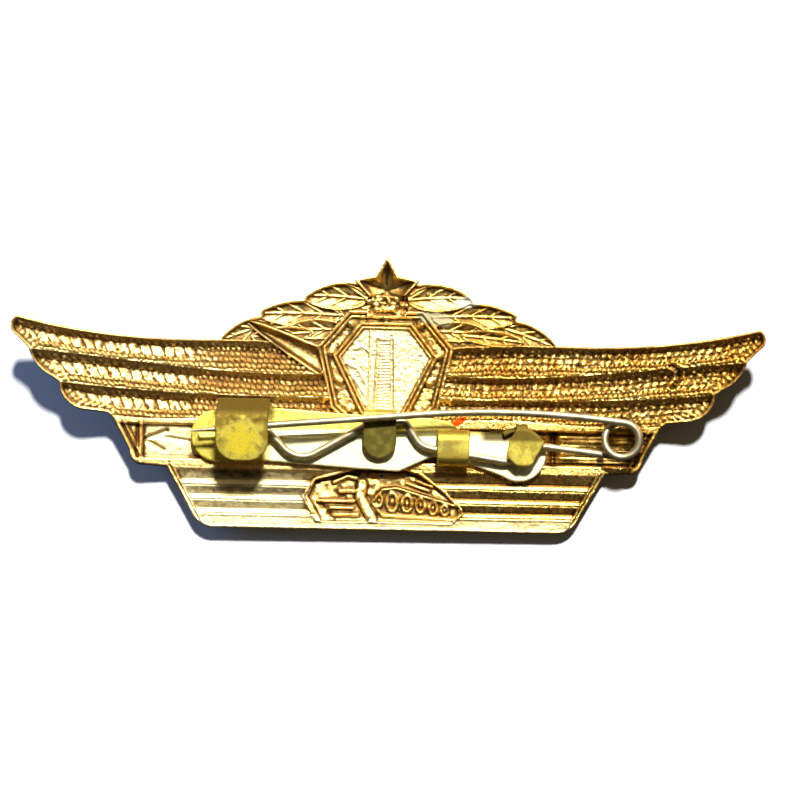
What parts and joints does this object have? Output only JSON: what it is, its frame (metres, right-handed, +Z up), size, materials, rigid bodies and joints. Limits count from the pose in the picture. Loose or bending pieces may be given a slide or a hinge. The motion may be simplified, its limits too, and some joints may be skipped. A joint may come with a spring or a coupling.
{
  "type": "pilot wings pin",
  "caption": "Stamped gilt wings badge with star, shield and lower bar, worn on clothing with a sprung safety-pin wire, folded catch and soldered mounting plate on its back.",
  "frame": {"origin": "middle of the closed pin's box", "axes": "+Z up as worn, +Y towards the wearer, out of the pin side, +X along the wings towards the catch"},
  "size_m": [0.0742, 0.0064, 0.0274],
  "materials": {
    "gilt_brass": "gilt, polished, with brown tarnish in the recesses",
    "raw_brass": "bare olive-yellow brass, scratched",
    "red_enamel": "gloss red cold enamel",
    "blue_enamel": "gloss blue cold enamel",
    "solder": "dull grey soft solder",
    "spring_steel": "drawn spring steel wire, lightly dulled"
  },
  "bodies": {
    "badge": {"badge_body": "gilt_brass", "star_enamel": "red_enamel", "shield_enamel": "blue_enamel", "solder": "solder", "mounting_plate": "raw_brass", "anchor_wire": "spring_steel"},
    "spring": {"spring_coil": "spring_steel"},
    "pin": {"pin_shank": "spring_steel"}
  },
  "joints": [
    {"name": "pin_swing", "type": "hinge", "parent": "badge", "child": "spring", "pos_m": [-0.0233, 0, -0.00407], "axis": [0, 1, 0], "range_deg": [0, 45], "stiffness_Nm_per_rad": 0.002, "springref_deg": -14.32, "deforming": ["spring_coil"]},
    {"name": "pin_lift", "type": "hinge", "parent": "spring", "child": "pin", "pos_m": [-0.02352, 0.00119, -0.00238], "axis": [0, 0, 1], "range_deg": [0, 8.1]}
  ],
  "couplings": [
    {"joint": "pin_lift", "follows": "pin_swing", "ratio": 0.18}
  ]
}
